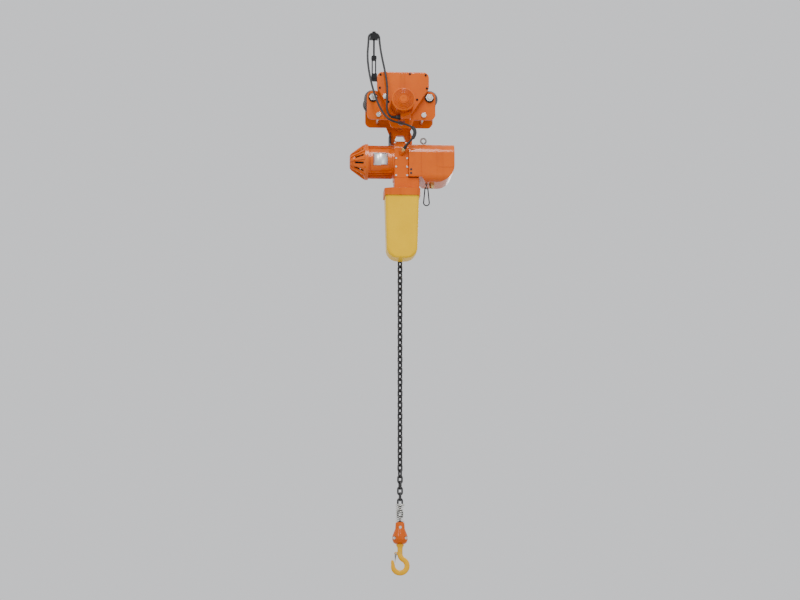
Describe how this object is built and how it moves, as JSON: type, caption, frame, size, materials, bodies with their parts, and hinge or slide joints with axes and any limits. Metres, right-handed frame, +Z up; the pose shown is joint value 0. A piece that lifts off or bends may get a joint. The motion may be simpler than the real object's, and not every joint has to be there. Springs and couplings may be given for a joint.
{
  "type": "electric chain hoist",
  "caption": "Electric chain hoist on a motorised beam trolley, with a finned motor, gear case and control box, chain bucket, load chain and swivel hook with latch.",
  "frame": {"origin": "centre of the underside of the beam's lower flange, above the load chain", "axes": "+X along the beam, towards the control box; +Y to the rear, away from the trolley motor; +Z up"},
  "size_m": [0.549, 0.414, 2.8743],
  "materials": {
    "orange_paint": "gloss enamel, a little worn",
    "yellow_paint": "gloss moulded plastic",
    "hook_paint": "gloss enamel, worn at the bowl",
    "black_paint": "satin black",
    "zinc": "zinc plated",
    "steel": "machined",
    "gear_steel": "cut teeth, oiled",
    "chain_black": "blackened and oiled",
    "castings": "as cast",
    "aluminium": "die cast",
    "copper": "varnished windings",
    "brass": "turned",
    "black_plastic": "moulded",
    "rubber": "cable jacket"
  },
  "bodies": {
    "trolley": {"trolley_front_plate": "orange_paint", "trolley_rear_plate": "orange_paint", "trolley_load_shaft": "steel", "load_shaft_spacers": "steel", "trolley_tie_rods": "zinc", "trolley_fasteners": "zinc", "wheel_axles": "zinc", "trolley_bearings": "steel", "drive_cover": "orange_paint", "trolley_motor_housing": "orange_paint", "trolley_motor_end_cap": "orange_paint", "trolley_motor_stator": "copper", "trolley_gland": "black_plastic", "tow_arm": "black_paint", "cable_saddle": "black_paint", "trolley_cable": "rubber"},
    "centre_gear": {"trolley_centre_gear": "gear_steel", "trolley_drive_shaft": "gear_steel"},
    "trolley_rotor": {"trolley_rotor": "steel"},
    "front_left_wheel": {"wheel_front_left": "castings"},
    "front_right_wheel": {"wheel_front_right": "castings"},
    "rear_left_wheel": {"wheel_rear_left": "castings"},
    "rear_right_wheel": {"wheel_rear_right": "castings"},
    "hoist": {"suspension_bracket": "orange_paint", "centre_housing": "orange_paint", "chain_guide": "castings", "motor_housing": "orange_paint", "motor_stator": "copper", "brake_coil": "castings", "fan_cover": "orange_paint", "gear_case": "orange_paint", "control_box_cover": "orange_paint", "electrical_panel": "black_plastic", "hoist_bearings": "steel", "hoist_screws": "zinc", "hoist_glands": "brass", "box_eyes": "zinc", "chain_bucket": "yellow_paint", "bucket_collar": "orange_paint", "lever_pivot": "zinc", "stored_chain": "chain_black"},
    "rotor": {"motor_rotor": "steel", "brake_disc": "castings", "cooling_fan": "black_plastic"},
    "layshaft": {"layshaft": "gear_steel"},
    "sheave": {"load_sheave": "castings", "output_gear": "gear_steel"},
    "limit_lever": {"limit_lever": "zinc"},
    "pendant_hook": {"pendant_hook": "black_paint"},
    "chain_fall": {"load_chain": "chain_black"},
    "hook_block": {"lower_chain": "chain_black", "limit_spring": "zinc", "hook_block_front": "orange_paint", "hook_block_rear": "orange_paint", "block_bolts": "zinc", "hook_thrust_bearing": "steel"},
    "hook": {"load_hook": "hook_paint", "hook_nut": "zinc", "latch_pin": "zinc"},
    "latch": {"safety_latch": "zinc"}
  },
  "joints": [
    {"name": "centre_gear_spin", "type": "hinge", "parent": "trolley", "child": "centre_gear", "pos_m": [0, -0.075, 0.052], "axis": [0, 1, 0], "continuous": true},
    {"name": "trolley_rotor_spin", "type": "hinge", "parent": "trolley", "child": "trolley_rotor", "pos_m": [0, -0.2, 0.00025], "axis": [0, 1, 0], "continuous": true},
    {"name": "front_left_wheel_spin", "type": "hinge", "parent": "trolley", "child": "front_left_wheel", "pos_m": [-0.15, -0.05, 0.052], "axis": [0, 1, 0], "continuous": true},
    {"name": "front_right_wheel_spin", "type": "hinge", "parent": "trolley", "child": "front_right_wheel", "pos_m": [0.15, -0.05, 0.052], "axis": [0, 1, 0], "continuous": true},
    {"name": "rear_left_wheel_spin", "type": "hinge", "parent": "trolley", "child": "rear_left_wheel", "pos_m": [-0.15, 0.05, 0.052], "axis": [0, 1, 0], "continuous": true},
    {"name": "rear_right_wheel_spin", "type": "hinge", "parent": "trolley", "child": "rear_right_wheel", "pos_m": [0.15, 0.05, 0.052], "axis": [0, 1, 0], "continuous": true},
    {"name": "hoist_swing", "type": "hinge", "parent": "trolley", "child": "hoist", "pos_m": [0, 0, -0.08], "axis": [0, 1, 0], "range_deg": [-6, 6], "deforming": ["trolley_cable"]},
    {"name": "rotor_spin", "type": "hinge", "parent": "hoist", "child": "rotor", "pos_m": [-0.1, -0.04401, -0.288], "axis": [1, 0, 0], "range_deg": [0, 56331.37], "deforming": ["load_chain", "stored_chain"]},
    {"name": "layshaft_spin", "type": "hinge", "parent": "hoist", "child": "layshaft", "pos_m": [0.07, 0.01599, -0.288], "axis": [1, 0, 0], "range_deg": [-8981.36, 1]},
    {"name": "sheave_spin", "type": "hinge", "parent": "hoist", "child": "sheave", "pos_m": [0, -0.04401, -0.288], "axis": [1, 0, 0], "range_deg": [-1, 2017]},
    {"name": "chain_swing", "type": "hinge", "parent": "hoist", "child": "chain_fall", "pos_m": [0, 0, -0.388], "axis": [0, 1, 0], "range_deg": [-5, 5]},
    {"name": "hook_lift", "type": "slide", "parent": "chain_fall", "child": "hook_block", "axis": [0, 0, 1], "range_m": [-0.001, 1.681]},
    {"name": "hook_swivel", "type": "hinge", "parent": "hook_block", "child": "hook", "pos_m": [0, 0, -2.3013], "axis": [0, 0, 1], "continuous": true},
    {"name": "latch_hinge", "type": "hinge", "parent": "hook", "child": "latch", "pos_m": [-0.022, 0, -2.3513], "axis": [0, -1, 0], "range_deg": [0, 26], "stiffness_Nm_per_rad": 0.15, "springref_deg": -17.19},
    {"name": "limit_lever_tilt", "type": "hinge", "parent": "hoist", "child": "limit_lever", "pos_m": [0, 0.032, -0.397], "axis": [-1, 0, 0], "range_deg": [0, 4], "stiffness_Nm_per_rad": 4, "springref_deg": -2.86},
    {"name": "pendant_hook_swing", "type": "hinge", "parent": "hoist", "child": "pendant_hook", "pos_m": [0.136, -0.062, -0.433], "axis": [0, 1, 0], "range_deg": [-15, 15]}
  ],
  "couplings": [
    {"joint": "trolley_rotor_spin", "follows": "centre_gear_spin", "ratio": -4.3077},
    {"joint": "front_left_wheel_spin", "follows": "centre_gear_spin", "ratio": -2.4286},
    {"joint": "front_right_wheel_spin", "follows": "centre_gear_spin", "ratio": -2.4286},
    {"joint": "layshaft_spin", "follows": "rotor_spin", "ratio": -0.15942},
    {"joint": "sheave_spin", "follows": "rotor_spin", "ratio": 0.035788},
    {"joint": "hook_lift", "follows": "rotor_spin", "m_per_rad": 0.0017088}
  ]
}
